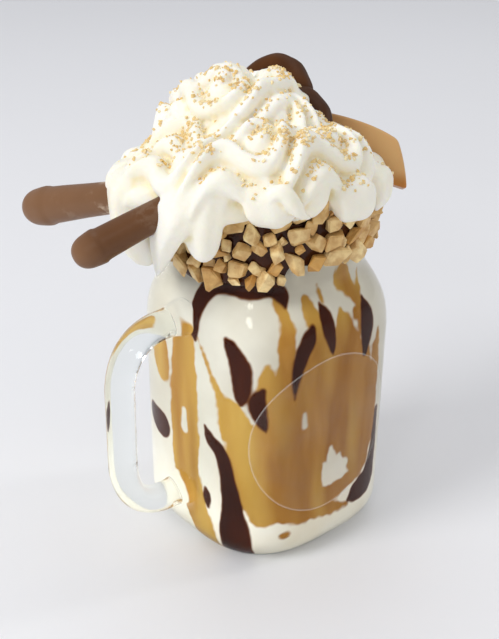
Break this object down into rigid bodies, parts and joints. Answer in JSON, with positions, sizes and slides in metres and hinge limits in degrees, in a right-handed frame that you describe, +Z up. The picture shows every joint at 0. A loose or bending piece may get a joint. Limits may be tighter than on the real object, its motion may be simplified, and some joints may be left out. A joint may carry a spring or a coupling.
{
  "type": "milkshake",
  "caption": "Loaded milkshake in a glass jar mug with a handle, nut-coated rim, piped whipped cream, chocolate fingers, pretzel and fudge.",
  "frame": {"origin": "middle of the mug's base, on the surface that it stands on", "axes": "+Z up along the jar's axis, -X towards the handle, -Y towards the clear label"},
  "size_m": [0.1254, 0.1083, 0.1765],
  "materials": {
    "glass_mug": "clear smooth glass",
    "milkshake": "thick cream-white drink with caramel and chocolate sauce",
    "clear_label": "clear film",
    "nut_rim": "chopped roasted nuts in dark chocolate",
    "whipped_cream": "soft whipped cream with golden sugar crumbs",
    "chocolate": "satin milk chocolate",
    "caramel_fudge": "satin caramel fudge"
  },
  "bodies": {
    "root": {"glass_mug": "glass_mug", "milkshake": "milkshake", "clear_label": "clear_label", "nut_rim": "nut_rim", "whipped_cream": "whipped_cream", "chocolate_pretzel": "chocolate", "caramel_fudge": "caramel_fudge", "chocolate_finger_back": "chocolate", "chocolate_finger_front": "chocolate"}
  },
  "joints": []
}
